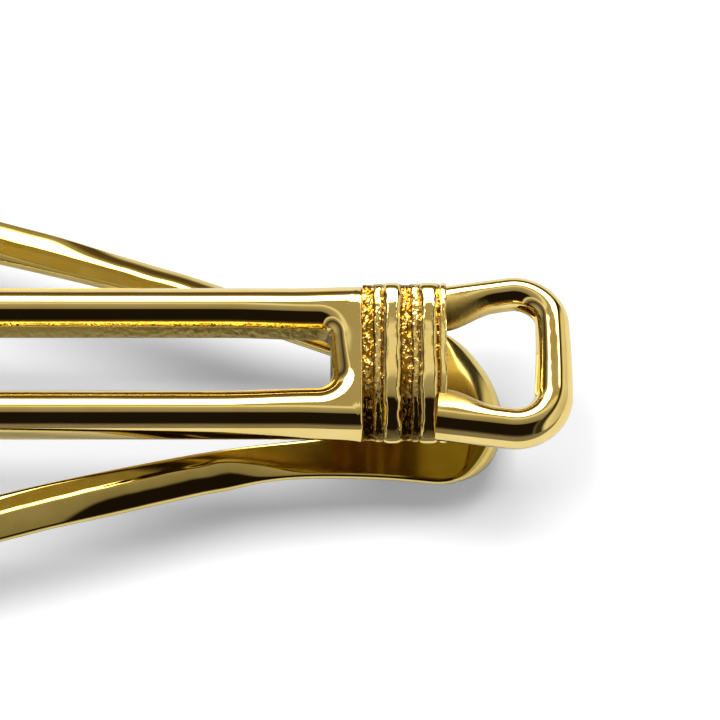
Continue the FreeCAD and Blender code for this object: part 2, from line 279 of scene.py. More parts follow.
def bar_edge(x):
    """Half of the link's width, which flares at the collar."""
    return BAR_HALF - FLARE * (1 - smooth(x, FLARES_FROM, LINK_HALF))


def link_top(spot):
    """Height of the link's front, which falls to the slot, to its outer edge and a little to the collar."""
    x, y = spot
    beside = (max(x - SLOT_END + SLOT_CORNER, 0.0), max(abs(y) - slot_edge(x) + SLOT_CORNER, 0.0))
    to_slot = math.hypot(*beside) - SLOT_CORNER
    far = smooth(y, -SLOT_HALF, SLOT_HALF)
    drop = shoulder_drop(to_slot, *FRONT_SHOULDER) * far + shoulder_drop(to_slot, *BACK_SHOULDER) * (1 - far)
    drop += shoulder_drop(bar_edge(x) - abs(y), *(BACK_SHOULDER if y > 0 else FRONT_SHOULDER))
    return BAR_FRONT - drop - shoulder_drop(LINK_HALF - x, *END_SHOULDER)


def link_section(inner, outer, heel):
    """Section of the link from a point on the slot's edge to one on its outer edge, closed behind."""
    width = (outer - inner).length
    across = (outer - inner) / width
    shares = [(1 - math.cos(math.pi * i / FRONT_STEPS)) / 2 for i in range(FRONT_STEPS + 1)]
    front = [inner.lerp(outer, share) for share in shares]
    back = arc((width - heel, BAR_BACK + heel), heel, 0, -90, BEND_STEPS)
    back += arc((SLOT_HEEL, BAR_BACK + SLOT_HEEL), SLOT_HEEL, -90, -180, BEND_STEPS)
    crown = [(*spot, link_top(spot)) for spot in front]
    return crown + [(*(inner + across * step), height) for step, height in back]


def link_quarter(side):
    """Sections from the middle of a rail, on one side of the slot, to the middle of a cross bar."""
    straight = SLOT_END - SLOT_CORNER
    corner = (straight, slot_edge(straight) - SLOT_CORNER)
    bend = (LINK_HALF - LINK_CORNER, BAR_HALF - LINK_CORNER)
    rail = [straight * (1 - (1 - i / RAIL_STEPS) ** 2) for i in range(RAIL_STEPS + 1)]
    corner_steps = SIDE_STEPS + BEND_STEPS + SIDE_STEPS
    slot_side = [(x, slot_edge(x)) for x in rail] + arc(corner, SLOT_CORNER, 90, 0, corner_steps)[1:]
    slot_side += line(slot_side[-1], (SLOT_END, 0.0), END_STEPS)
    outer_side = [(x, bar_edge(x)) for x in rail]
    outer_side += [(x, bar_edge(x)) for x, _ in line((straight, 0), (bend[0], 0), SIDE_STEPS)]
    outer_side += arc(bend, LINK_CORNER, 90, 0, BEND_STEPS)[1:]
    outer_side += line(outer_side[-1], (LINK_HALF, corner[1]), SIDE_STEPS)
    outer_side += line((LINK_HALF, corner[1]), (LINK_HALF, 0.0), END_STEPS)
    turned = [smooth(i - RAIL_STEPS, *HEEL_CHANGES) for i in range(len(slot_side))]
    heels = [RAIL_HEEL + (END_HEEL - RAIL_HEEL) * share for share in turned]
    return [link_section(Vector((a, b * side)), Vector((c, d * side)), heel)
            for (a, b), (c, d), heel in zip(slot_side, outer_side, heels)]


def mopped(place):
    """A mirror finish, a little uneven."""
    return place.noise(0.5) * MIRROR_UNEVEN + MIRROR_ROUGHNESS


def slot_walls(place):
    """The skin of the casting stays on the walls of the slot, out of the mop's reach."""
    beside = 1 - abs(place.axis(1)).between(*(SLOT_HALF + gap for gap in SKIN_BESIDE))
    below = 1 - place.axis(2).between(*(BAR_FRONT - depth for depth in SKIN_BELOW))
    return beside * below


CAST_SKIN = (0.42, 0.29, 0.05, 1.0)
far_rail, near_rail = link_quarter(1), link_quarter(-1)
flips = ((1, far_rail), (1, near_rail[::-1]), (-1, near_rail), (-1, far_rail[::-1]))
rows = [[(end * x, y, z) for x, y, z in section] for end, sections in flips for section in sections[:-1]]
rail_gold = finish_gold("rail_gold", (GOLD, DEEP_GOLD), 0.7, 0.012, mopped, slot_walls, CAST_SKIN, 0.06)
link_mesh = skin("front_link", rows, rail_gold, ring=True)
add_piece("front_link", link_mesh, "bar", "front_frame")

# Collars: bindings of cast brass soldered to the ends of the link, with two polished ribs and a thin bead
# in each groove beside them. The grooves keep the grain of the casting, out of the mop's reach, and
# their dark amber is painted shade, for light bounced deep inside them.
# Painted shade: the dark amber of light bounced deep in the grooves.
GROOVE_SHADE_AMBER = (0.26, 0.125, 0.010, 1.0)
collar_low, collar_high = span("tip_collar")
COLLAR_START = collar_low.x
COLLAR_LENGTH = collar_high.x - collar_low.x
GROOVE_DEPTH = 0.2
WANDER = 0.07
# Each rib or bead: where it starts and ends along the collar, and its height, as shares
COLLAR_BANDS = ((0.235, 0.465, 1.0), (0.67, 0.905, 1.0), (0.125, 0.24, 0.5), (0.575, 0.68, 0.5),
                (0.905, 1.01, 0.85))
RIB_SQUARENESS = 3.5
# Outline of the collar across the bar: its front above the bar's middle, and its back above the bar's back
COLLAR_FRONT = ((-3.06, -0.60), (-3.0, -0.42), (-2.7, 0.02), (-2.3, 0.36), (-1.9, 0.575), (-1.5, 0.71),
                (-1.0, 0.805), (0.0, 0.875), (1.0, 0.925), (1.5, 0.935), (1.9, 0.93), (2.35, 0.89),
                (2.7, 0.755), (2.95, 0.46), (3.09, 0.02), (3.1, -0.35))
COLLAR_BACK = ((3.0, 0.12), (2.7, 0.0), (1.8, 0.0), (0.9, 0.0), (0.0, 0.0), (-0.9, 0.0), (-1.8, 0.0),
               (-2.7, 0.0), (-2.98, 0.06))
CURVE_STEPS = 14
COLLAR_STEPS = 150
WANDER_SCALE = 1100.0
CAST_SCALE = 5000.0
CAST_STRETCH = (1.8, 0.6, 0.6)
CAST_FLOOR, CAST_RELIEF = 0.7, 0.6
SIDE_STARTS, SIDE_ENDS, SIDE_FILL = 2.3, 3.0, 0.6


def grown_mesh(name, source, tree, sizes):
    """Runs a tree of geometry nodes on a source and returns what it makes as a plain mesh."""
    holder = bpy.data.objects.new(name, source)
    scene.collection.objects.link(holder)
    modifier = holder.modifiers.new(name, "NODES")
    modifier.node_group = tree
    for item in tree.interface.items_tree:
        if item.in_out == "INPUT" and item.name in sizes:
            modifier[item.identifier] = sizes[item.name]
    evaluated = holder.evaluated_get(bpy.context.evaluated_depsgraph_get())
    mesh = bpy.data.meshes.new_from_object(evaluated)
    holder.modifiers.remove(modifier)
    bpy.data.objects.remove(holder)
    return mesh


def new_tree(name, inputs):
    """Empty tree of geometry nodes with named lengths as inputs."""
    tree = bpy.data.node_groups.new(name, "GeometryNodeTree")
    tree.interface.new_socket("Geometry", in_out="INPUT", socket_type="NodeSocketGeometry")
    for key in inputs:
        tree.interface.new_socket(key, in_out="INPUT", socket_type="NodeSocketFloat")
    tree.interface.new_socket("Geometry", in_out="OUTPUT", socket_type="NodeSocketGeometry")
    given = tree.nodes.new("NodeGroupInput")
    return tree, {socket.name: Value(tree, socket) for socket in given.outputs if socket.name}


def end_tree(tree, shape, material):
    """Smooth shading, real geometry and a material, as the last nodes of a tree."""
    shape = shape.add("GeometryNodeSetShadeSmooth", {}, {0: shape})
    shape = shape.add("GeometryNodeRealizeInstances", {}, {0: shape})
    shape = shape.add("GeometryNodeSetMaterial", {}, {"Geometry": shape, "Material": material})
    tree.links.new(shape.socket, tree.nodes.new("NodeGroupOutput").inputs[0])


def through(points, count):
    """Smooth row of points through a few given ones."""
    points = [Vector(point) for point in points]
    row = []
    for before, a, b, after in zip(points[:1] + points, points, points[1:], points[2:] + points[-1:]):
        for i in range(count):
            t = i / count
            row.append(a + (b - before) * (t / 2) + (before * 2 - a * 5 + b * 4 - after) * (t * t / 2)
                       + (a * 3 - before - b * 3 + after) * (t ** 3 / 2))
    return row + points[-1:]


def collar_section():
    """Outline of the binding in Y and Z: flat on the back, with the crown a little nearer the far side."""
    front = [(y, BAR_MIDDLE + z) for y, z in through(COLLAR_FRONT, CURVE_STEPS)]
    return front + [(y, BAR_BACK + z) for y, z in COLLAR_BACK]


def groove_shade_and_grain(place):
    """How deep the binding is cut, as its relief has written on the mesh, less specks: where the grooves
    take painted shade and grain.
    """
    depth = place.add("ShaderNodeAttribute", {"attribute_name": "groove"}, {}, "Fac").between(0.25, 0.8)
    return depth * (1 - place.noise(6.0, 1.0).between(0.5, 0.64) * 0.5)


def mirrored(name, mesh):
    """The same mesh at the other end of the bar."""
    other = mesh.copy()
    other.name = name
    shape = bmesh.new()
    shape.from_mesh(other)
    for vert in shape.verts:
        vert.co.x = -vert.co.x
    bmesh.ops.reverse_faces(shape, faces=shape.faces)
    shape.to_mesh(other)
    shape.free()
    return other


# The grooves take painted shade in amber, with the casting's grain and a rougher face.
cast_gold = finish_gold("cast_gold", (GOLD, DEEP_GOLD), 1.6, 0.010, mopped, groove_shade_and_grain, GROOVE_SHADE_AMBER, 0.02)
relief_tree, given = new_tree("binding_relief", ("Start", "Length", "Depth", "Wander"))
place = given["Start"].add("GeometryNodeInputPosition")
wander = (place.noise(WANDER_SCALE) - 0.5) * given["Wander"]
share = (place.axis(0) - given["Start"]) / given["Length"] + wander
height = None
for first, last, top in COLLAR_BANDS:
    off = abs((share - (first + last) / 2) / ((last - first) / 2))
    rib = (1 - off ** RIB_SQUARENESS).at_least(0.0) * top
    height = height.at_least(rib) if height else rib
edge = abs(place.axis(1)).between(SIDE_STARTS * MM, SIDE_ENDS * MM)
drawn = place.add("ShaderNodeVectorMath", {"operation": "MULTIPLY"}, {0: place, 1: CAST_STRETCH})
grain = CAST_FLOOR + drawn.noise(CAST_SCALE, 2.0) * CAST_RELIEF
sink = given["Depth"] * (1 - height) * grain * (1 - edge * SIDE_FILL)
outward = place.add("GeometryNodeInputNormal")
outward = outward.add("ShaderNodeVectorMath", {"operation": "MULTIPLY"}, {0: outward, 1: (0.0, 1.0, 1.0)})
inward = outward.add("ShaderNodeVectorMath", {"operation": "SCALE"}, {0: outward, "Scale": sink * -1})
band = inward.add("GeometryNodeSetPosition", {}, {"Geometry": given["Geometry"], "Offset": inward})
band = band.add("GeometryNodeStoreNamedAttribute", {"data_type": "FLOAT", "domain": "POINT"},
                {"Geometry": band, "Name": "groove", "Value": 1 - height})
end_tree(relief_tree, band, cast_gold)
stations = [COLLAR_START + COLLAR_LENGTH * i / COLLAR_STEPS for i in range(COLLAR_STEPS + 1)]
section = collar_section()
blank = skin("collar_blank", [[(x, y, z) for y, z in section] for x in stations], cast_gold)
tip_collar = grown_mesh("tip_collar_binding", blank, relief_tree, {
    "Start": COLLAR_START * MM, "Length": COLLAR_LENGTH * MM, "Depth": GROOVE_DEPTH * MM, "Wander": WANDER})
add_piece("tip_collar_binding", tip_collar, "bar", "tip_collar")
tail_collar = mirrored("tail_collar_binding", tip_collar)
add_piece("tail_collar_binding", tail_collar, "bar", "tail_collar")

# End loops: stirrups of oval brass wire, soldered into the collars and plated with them. A web fills the
# corner where each arm leaves the collar, the arms splay a little and round corners lead into a bowed end.
LOOP_WIRE = 1.3
LOOP_HEIGHT = 1.45
ROOT_SINK = 0.35
LOOP_ROOT = COLLAR_START + COLLAR_LENGTH - ROOT_SINK
END_INSET = 0.77
WIRE_END = span("tip_loop")[1].x - END_INSET
FAR_ROOT, FAR_END = 2.30, 2.95
NEAR_ROOT, NEAR_END = -2.46, -2.98
LOOP_HALF = 2.9
LOOP_CORNER = 1.3
LOOP_BOW = 0.1
LOOP_LEAN = 0.1
WEB = 0.5
# Shares of the loop's length over which its end bows and its web fades, and where the web stays rough
BOW_SHARES, WEB_SHARES = (0.6, 1.0), (0.1, 0.52)
ROUGH_FROM_ROOT, ROUGH_ASIDE = (0.8, 2.6), (2.0, 2.5)
ROUGH_SHARE = 0.8
ROOT_ROUGHNESS = 0.3
PATH_STEPS, CORNER_STEPS, OVAL_STEPS = 240, 24, 48


def path_curve(name, points):
    """Open curve through points in millimetres."""
    curve = bpy.data.curves.new(name, "CURVE")
    curve.dimensions = "3D"
    spline = curve.splines.new("POLY")
    spline.points.add(len(points) - 1)
    for knot, point in zip(spline.points, points):
        knot.co = (*(Vector(point) * MM), 1.0)
    return curve


def web_roots(place):
    """The web stays as rough as a casting on its inner side, out of the mop's reach."""
    root = 1 - abs(place.axis(0)).between(*(LOOP_ROOT + gap for gap in ROUGH_FROM_ROOT))
    inner = 1 - abs(place.axis(1)).between(*ROUGH_ASIDE)
    return root * inner * ROUGH_SHARE


def wire_dull(place):
    """A mirror finish, but for the web."""
    return mopped(place) + web_roots(place) * ROOT_ROUGHNESS


wire_gold = finish_gold("wire_gold", (GOLD, DEEP_GOLD), 1.0, 0.02, wire_dull, web_roots, CAST_SKIN, 0.02)
wire_tree, given = new_tree("stirrup_wire", ("Root", "End", "Half", "Corner", "Wire", "Height", "Bow", "Web",
                                             "Lean"))


def spot_at(x, y, z):
    """Vector of three numbers or values, of which one at least is a value."""
    some = next(part for part in (x, y, z) if isinstance(part, Value))
    return some.add("ShaderNodeCombineXYZ", {}, {0: x, 1: y, 2: z})


path = given["Geometry"].add("GeometryNodeFilletCurve", {"mode": "POLY"}, {
    "Curve": given["Geometry"], "Count": CORNER_STEPS, "Radius": given["Corner"], "Limit Radius": True})
path = path.add("GeometryNodeResampleCurve", {"mode": "COUNT"}, {"Curve": path, "Count": PATH_STEPS})
place = path.add("GeometryNodeInputPosition")
reach = (place.axis(0) - given["Root"]) / (given["End"] - given["Root"])
aside = place.axis(1) / given["Half"]
push = given["Bow"] * (1 - aside * aside) * reach.between(*BOW_SHARES)
path = path.add("GeometryNodeSetPosition", {}, {"Geometry": path, "Offset": spot_at(push, 0.0, 0.0)})
oval = path.add("GeometryNodeCurvePrimitiveCircle", {"mode": "RADIUS"},
                {"Resolution": OVAL_STEPS, "Radius": 0.5})
thick = spot_at(given["Wire"], given["Height"], 1.0)
oval = oval.add("GeometryNodeTransform", {}, {"Geometry": oval, "Scale": thick})
wire = path.add("GeometryNodeCurveToMesh", {}, {"Curve": path, "Profile Curve": oval,
                                                "Scale": 1 - given["Lean"] * aside, "Fill Caps": True})
facing = place.add("GeometryNodeInputNormal").axis(1) * place.axis(1).maths("SIGN")
inner = (facing * -1).at_least(0.0)
swell = given["Web"] * inner * (1 - reach.between(*WEB_SHARES)) * place.axis(1).maths("SIGN") * -1
wire = wire.add("GeometryNodeSetPosition", {}, {"Geometry": wire, "Offset": spot_at(0.0, swell, 0.0)})
end_tree(wire_tree, wire, wire_gold)
wire_path = [(LOOP_ROOT, FAR_ROOT, BAR_MIDDLE), (WIRE_END, FAR_END, BAR_MIDDLE),
             (WIRE_END, NEAR_END, BAR_MIDDLE), (LOOP_ROOT, NEAR_ROOT, BAR_MIDDLE)]
tip_loop = grown_mesh("tip_loop_wire", path_curve("wire_path", wire_path), wire_tree, {
    "Root": LOOP_ROOT * MM, "End": WIRE_END * MM, "Half": LOOP_HALF * MM, "Corner": LOOP_CORNER * MM,
    "Wire": LOOP_WIRE * MM, "Height": LOOP_HEIGHT * MM, "Bow": LOOP_BOW * MM, "Web": WEB * MM,
    "Lean": LOOP_LEAN})
add_piece("tip_loop_wire", tip_loop, "bar", "tip_loop")
tail_loop = mirrored("tail_loop_wire", tip_loop)
add_piece("tail_loop_wire", tail_loop, "bar", "tail_loop")

# Hinge box and pin: a folded channel soldered between the rails, and a steel pin through its cheeks.
# The box is plated with the bar, and the pin is drawn wire left bare.
STEEL = (0.55, 0.53, 0.50, 1.0)
PALE_STEEL = (0.70, 0.68, 0.64, 1.0)
DRAWN_STRETCH = (8.0, 0.4, 8.0)


def dress(name, material):
    """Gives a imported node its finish."""
    nodes[name].data.materials.clear()
    nodes[name].data.materials.append(material)


dress("hinge_box", rail_gold)
hinge_steel, tree, shader, place = new_material("hinge_steel")
drawn = place.stretched(*DRAWN_STRETCH).noise(3.0, 3.0)
tree.links.new(drawn.blend(STEEL, PALE_STEEL).socket, shader.inputs["Base Color"])
tree.links.new((drawn * 0.15 + 0.2).socket, shader.inputs["Roughness"])
dress("hinge_pin", hinge_steel)

# Jaw: one stamping of brass sheet, plated and polished. Its arms fall away to a bevelled edge, its tongue
# to a soft roll at the tip, and two ears are bent up from it for the pin.
JAW_GAP = 0.35
JAW_TOP = BAR_BACK - JAW_GAP
SHEET = 0.4
TONGUE_REACH = span("clip_jaw")[1].x
LEVER_REACH = -span("clip_jaw")[0].x
TONGUE_HALF = 3.2
TONGUE_SET = 0.25
SET_GROWS = (14.0, 21.0)
LEVER_HALF = 3.2
RING_X = 4.6
RING_RADIUS = 7.12
NECK_FROM_TIP = 6.9
NECK_X = TONGUE_REACH - NECK_FROM_TIP
NECK_RADIUS = 24.0
LEVER_FILLET = 1.5
END_RADIUS = 3.6
END_CORNER = 2.2
RING_BAND = 1.72
WINDOW_FROM_TIP = 5.2
WINDOW_REACH = TONGUE_REACH - WINDOW_FROM_TIP
WINDOW_HALF = 1.5
WINDOW_CORNER = 1.1
BEND_X = -2.0
BEND_RADIUS = 6.0
LEVER_TURN = 12.0
PIN = sum(span("hinge_pin"), Vector()) / 2
PIN_HOLE = 0.34
EAR_RADIUS = span("clip_jaw")[1].z - PIN.z
EAR_HEEL = 0.85
EAR_OUTSIDE = 0.99
EAR_SINK = 0.2
EAR_STEPS = 72
BOW_START = 8.0
BOW_RADIUS = 72.0
PROBE = 0.01
TIP_STEPS, TIP_CORNER_STEPS = 14, 18
NECK_STEPS, RING_STEPS, FILLET_STEPS = 24, 56, 12
SIDE_RUN_STEPS, FLARE_RUN_STEPS, LEVER_RUN_STEPS = 16, 70, 40


def jaw_height(x):
    """Height of the jaw's upper face: lever, bend, flat and the long bow of the tongue."""
    turn = math.radians(LEVER_TURN)
    centre = BEND_X + BEND_RADIUS * math.tan(turn / 2)
    foot = centre - BEND_RADIUS * math.sin(turn)
    if x < foot:
        return JAW_TOP - BEND_RADIUS * (1 - math.cos(turn)) - (foot - x) * math.tan(turn)
    if x < centre:
        return JAW_TOP - BEND_RADIUS + math.sqrt(BEND_RADIUS ** 2 - (x - centre) ** 2)
    return JAW_TOP - BOW_RADIUS + math.sqrt(BOW_RADIUS ** 2 - max(x - BOW_START, 0.0) ** 2)


def below_jaw(x, depth):
    """Height at a depth square to the jaw's upper face."""
    slope = (jaw_height(x + PROBE) - jaw_height(x - PROBE)) / (2 * PROBE)
    return jaw_height(x) - depth * math.hypot(1.0, slope)


def tangent_slope(radius, point):
    """Fall in degrees of the line from the ring's circle to a point, touching the circle from above."""
    run, rise = point[0] - RING_X, point[1]
    return math.degrees(math.asin(radius / math.hypot(run, rise)) - math.atan2(rise, run))


def blunt_end(reach, half, inset):
    """Half of a blunt round end, from its tip on the axis to where its straight side starts."""
    centre = (reach - END_RADIUS, 0.0)
    rise = half - END_CORNER
    run = math.sqrt((END_RADIUS - END_CORNER) ** 2 - rise ** 2)
    corner = (centre[0] + run, rise)
    turn = math.degrees(math.atan2(corner[1], corner[0] - centre[0]))
    tip = arc(centre, END_RADIUS - inset, 0, turn, TIP_STEPS)
    return tip + arc(corner, END_CORNER - inset, turn, 90, TIP_CORNER_STEPS)[1:]


def jaw_plan(inset):
    """Outline of the jaw at an inset: tongue, neck, flare, ring and lever, down both sides."""
    centre = (RING_X, 0.0)
    flare = tangent_slope(RING_RADIUS, (NECK_X, TONGUE_HALF))
    neck = (NECK_X + NECK_RADIUS * math.tan(math.radians(flare / 2)), TONGUE_HALF + NECK_RADIUS)
    fillet = (RING_X - math.sqrt((RING_RADIUS + LEVER_FILLET) ** 2 - (LEVER_HALF + LEVER_FILLET) ** 2),
              LEVER_HALF + LEVER_FILLET)
    lean = math.degrees(math.atan2(fillet[1], fillet[0] - RING_X))
    half = blunt_end(TONGUE_REACH, TONGUE_HALF, inset)
    lever = [(-x, y) for x, y in reversed(blunt_end(LEVER_REACH, LEVER_HALF, inset))]
    bends = (arc(neck, NECK_RADIUS + inset, -90, -90 - flare, NECK_STEPS),
             arc(centre, RING_RADIUS - inset, 90 - flare, lean, RING_STEPS),
             arc(fillet, LEVER_FILLET + inset, lean - 180, -90, FILLET_STEPS))
    for bend, count in zip(bends, (SIDE_RUN_STEPS, FLARE_RUN_STEPS, 0)):
        half += (line(half[-1], bend[0], count) if count else []) + bend[1:]
    half += line(half[-1], lever[0], LEVER_RUN_STEPS) + lever[1:]
    return half + [(x, -y) for x, y in reversed(half[1:-1])]


def window_plan(grown):
    """Outline of the open middle of the ring, grown into the metal."""
    radius = RING_RADIUS - RING_BAND
    slope = tangent_slope(radius, (WINDOW_REACH, WINDOW_HALF))
    side = arc((RING_X, 0.0), radius, 90 - slope, 90 - slope, 1)[0]
    corner_x = WINDOW_REACH - WINDOW_CORNER
    tilt = math.radians(slope)
    corner = (corner_x, side[1] - (corner_x - side[0]) * math.tan(tilt) - WINDOW_CORNER / math.cos(tilt))
    circle = arc((RING_X, 0.0), radius + grown, 90 - slope, 180, RING_STEPS)
    half = [(WINDOW_REACH + grown, 0.0)] + arc(corner, WINDOW_CORNER + grown, 0, 90 - slope, FILLET_STEPS)
    half += line(half[-1], circle[0], FLARE_RUN_STEPS) + circle[1:]
    return half + [(x, -y) for x, y in reversed(half[1:-1])]


def with_normals(plan):
    """Points of an outline and the directions in which an inset moves them."""
    inset = 0.5
    outer, inner = plan(0.0), plan(inset)
    return [(Vector(a), (Vector(b) - Vector(a)) / inset) for a, b in zip(outer, inner)]


ARM_ENDS = (15.5, 18.8)
FAR_ROLL_GROWS = (22.8, 25.0)
NEAR_ROLL_GROWS = (23.8, TONGUE_REACH)
EDGE_WIDTH, BEVEL_WIDTH, ROLL_WIDTH = 0.14, 0.66, 0.95
EDGE_FALL, ROLL_FALL = 0.08, 0.62
BEVEL_SLOPE = 0.16
RING_HOLLOW, ARM_HOLLOW, HOLLOW_EASE = 0.10, 0.18, 0.6
HOLLOW_GROWS, HOLLOW_EASES = (9.0, 12.0), (15.5, 17.0)
EDGE_WALL, ARM_WALL = 0.18, 0.2
# How far the lower edge is broken, inward and upward, and what the arms add
EDGE_BREAK, ARM_BREAK = (0.04, 0.04), (0.08, 0.1)
FAR_BURR, NEAR_BURR = 0.006, 0.02
# Steps over the burr, from the bevel to the flat: distance from the bevel, and share of the height
BURR_STEPS = ((0.03, 1.0), (0.1, 0.5), (0.17, 0.0), (0.2, 0.0))
BEVEL_UNEVEN, BURR_UNEVEN = 0.05, 0.7
# Waves along and across the jaw, and the layer of the noise they come from
BEVEL_WAVES, BURR_WAVES = (0.9, 0.2, 3.0), (2.2, 0.3, 7.0)
RING_FADES = (6.0, 9.6)
SILL_WIDTH, RING_SILL_WIDTH = 0.12, 0.2
SILL_FALL, RING_SILL_FALL = 0.04, 0.06
SILL_BREAK = (0.02, 0.04)
SILL_ROUND_SHARE = 0.6
SILL_FLAT = 0.05
RIM_STEPS, SILL_STEPS = 16, 8


def uneven(point, waves):
    """Noise at a point of the jaw."""
    along, across, layer = waves
    return ripple.noise(Vector((point[0] * along, point[1] * across, layer)))


def rim_of_jaw(point):
    """Steps of the jaw's outer rim at a point, as inset and depth, from its lower edge to the flat. The arms
    have a hollow bevel with a thin burr at its top, and the tongue's end has a roll."""
    x, y = point
    arm = 1 - smooth(x, *ARM_ENDS)
    tip = smooth(x, *(FAR_ROLL_GROWS if y > 0 else NEAR_ROLL_GROWS))
    wander = 1 + BEVEL_UNEVEN * uneven(point, BEVEL_WAVES) * arm
    width = (EDGE_WIDTH + BEVEL_WIDTH * arm + ROLL_WIDTH * tip) * wander
    eased = 1 - HOLLOW_EASE * smooth(x, *HOLLOW_EASES)
    hollow = RING_HOLLOW + ARM_HOLLOW * smooth(x, *HOLLOW_GROWS) * eased
    drop = width * (BEVEL_SLOPE + hollow) * arm + (EDGE_FALL + ROLL_FALL * tip) * (1 - arm)
    deep = drop + EDGE_WALL + ARM_WALL * arm
    height = NEAR_BURR if y < 0 else FAR_BURR
    burr = height * arm * (1 + BURR_UNEVEN * uneven(point, BURR_WAVES))
    steps = [(EDGE_BREAK[0] + ARM_BREAK[0] * arm, deep), (0.0, deep - EDGE_BREAK[1] - ARM_BREAK[1] * arm)]
    for i in range(RIM_STEPS + 1):
        rest = 1 - i / RIM_STEPS
        bevel = width * (BEVEL_SLOPE * rest + hollow * rest ** 2)
        roll = drop * (1 - math.sqrt(max(1 - rest ** 2, 0.0)))
        steps.append((width * (1 - rest), bevel * arm + roll * (1 - arm) - burr * (1 - rest) ** 4))
    return steps + [(width + past, -burr * share) for past, share in BURR_STEPS]


def rim_of_window(point):
    """Steps of the window's rim at a point, as distance into the metal and depth, from edge to flat."""
    ring = 1 - smooth(point[0], *RING_FADES)
    width = SILL_WIDTH + RING_SILL_WIDTH * ring
    drop = SILL_FALL + RING_SILL_FALL * ring
    steps = [(SILL_BREAK[0], SHEET), (0.0, SHEET - SILL_BREAK[1])]
    for i in range(SILL_STEPS + 1):
        rest = 1 - i / SILL_STEPS
        rounded = drop * (1 - math.sqrt(1 - rest ** 2))
        sloped = drop * (1 - SILL_ROUND_SHARE) * rest
        steps.append((width * (1 - rest), rounded * SILL_ROUND_SHARE + sloped))
    return steps + [(width + SILL_FLAT, 0.0)]


def inside(point, outline):
    """Whether a point lies in a closed outline."""
    x, y = point
    crossings = 0
    for (ax, ay), (bx, by) in zip(outline, outline[1:] + outline[:1]):
        if (ay > y) != (by > y) and x < ax + (y - ay) * (bx - ax) / (by - ay):
            crossings += 1
    return crossings % 2 == 1


def spot_on_jaw(spot, depth):
    """Place in metres of a point of the plan at a depth, with the tongue set a little to one side."""
    x, y = spot
    return Vector((x, y - TONGUE_SET * smooth(x, *SET_GROWS), below_jaw(x, depth))) * MM


def raise_rim(shape, outline, steps_at):
    """Rings of vertices up a rim, with faces between them, and the plan of the last ring."""
    rows = []
    for point, across in outline:
        row = [(point + across * inset, depth) for inset, depth in steps_at(point)]
        rows.append([shape.verts.new(spot_on_jaw(spot, depth)) for spot, depth in row])
    for near, far in zip(rows, rows[1:] + rows[:1]):
        for i in range(len(near) - 1):
            shape.faces.new((near[i], far[i], far[i + 1], near[i + 1]))
    top = [row[-1] for row in rows]
    plan = [tuple(point + across * steps_at(point)[-1][0]) for point, across in outline]
    return [row[0] for row in rows], top, plan


def add_ear(shape, side):
    """Plate that stands on the jaw beside the axis, with a hole for the pin and a square heel."""
    turns = [math.radians(360 / EAR_STEPS * i) for i in range(EAR_STEPS)]
    ways = [(math.cos(turn), math.sin(turn)) for turn in turns]
    rings = []
    for y in (EAR_OUTSIDE * side, (EAR_OUTSIDE - SHEET) * side):
        for reach_at in (lambda c, s: PIN_HOLE, ear_reach):
            spots = [(PIN.x + c * reach_at(c, s), y, PIN.z + s * reach_at(c, s)) for c, s in ways]
            rings.append([shape.verts.new(Vector(spot) * MM) for spot in spots])
    for a, b in ((0, 1), (1, 3), (3, 2), (2, 0)):
        for i in range(EAR_STEPS):
            j = (i + 1) % EAR_STEPS
            shape.faces.new((rings[a][i], rings[a][j], rings[b][j], rings[b][i]))


def ear_reach(c, s):
    """How far an ear reaches from the pin: round behind, square before and into the jaw below."""
    if s > 0:
        upward = EAR_RADIUS / s if c >= 0 else EAR_RADIUS
    else:
        upward = (PIN.z - JAW_TOP + EAR_SINK) / max(-s, 1e-6)
    sideways = EAR_HEEL / c if c > 0 else EAR_RADIUS / max(-c, 1e-6)
    return min(upward, sideways)


FLAT_GRID = 0.55
GRID_COLUMNS, GRID_ROWS = 84, 27
CLEAR_OF_RIM = 0.3


def stamped_sheet():
    """The jaw: rims outside and round the window, flats between, the same below, and two ears."""
    shape = bmesh.new()
    edge, rim, rim_plan = raise_rim(shape, with_normals(jaw_plan), rim_of_jaw)
    sill, lip, lip_plan = raise_rim(shape, with_normals(window_plan), rim_of_window)
    count, total = len(rim), len(rim) + len(lip)
    plan = rim_plan + lip_plan
    grid = [(-LEVER_REACH + FLAT_GRID * i, -RING_RADIUS + FLAT_GRID * j)
            for i in range(GRID_COLUMNS) for j in range(GRID_ROWS)]
    close = [Vector(point) for point in plan]
    free = [spot for spot in grid if inside(spot, rim_plan) and not inside(spot, lip_plan)
            and min((Vector(spot) - point).length for point in close) > CLEAR_OF_RIM]
    loops = [(i, (i + 1) % count) for i in range(count)]
    loops += [(count + i, count + (i + 1) % len(lip)) for i in range(len(lip))]
    given = [Vector(spot) for spot in plan + free]
    spots, _, faces, source, _, _ = delaunay_2d_cdt(given, loops, [], 1, 1e-6)
    upper = rim + lip + [shape.verts.new(spot_on_jaw(spot, 0.0)) for spot in free]
    lower = [shape.verts.new(spot_on_jaw(spot, SHEET)) for spot in plan + free]
    for face in faces:
        centre = sum((spots[i] for i in face), Vector((0, 0))) / len(face)
        if not inside(centre, lip_plan):
            corners = [source[i][0] for i in face]
            shape.faces.new([upper[i] for i in corners])
            shape.faces.new([lower[i] for i in reversed(corners)])
    for low, under in ((edge, lower[:count]), (sill, lower[count:total])):
        for i in range(len(low)):
            j = (i + 1) % len(low)
            shape.faces.new((low[i], under[i], under[j], low[j]))
    for face in shape.faces:
        face.smooth = True
    for side in (-1, 1):
        add_ear(shape, side)
    bmesh.ops.recalc_face_normals(shape, faces=shape.faces)
    mesh = bpy.data.meshes.new("clip_jaw_sheet")
    shape.to_mesh(mesh)
    shape.free()
    return mesh


RUBBED_FROM = (15.5, 20.0)
BRIGHT_ROUGHNESS, RUBBED_ROUGHNESS = 0.045, 0.07
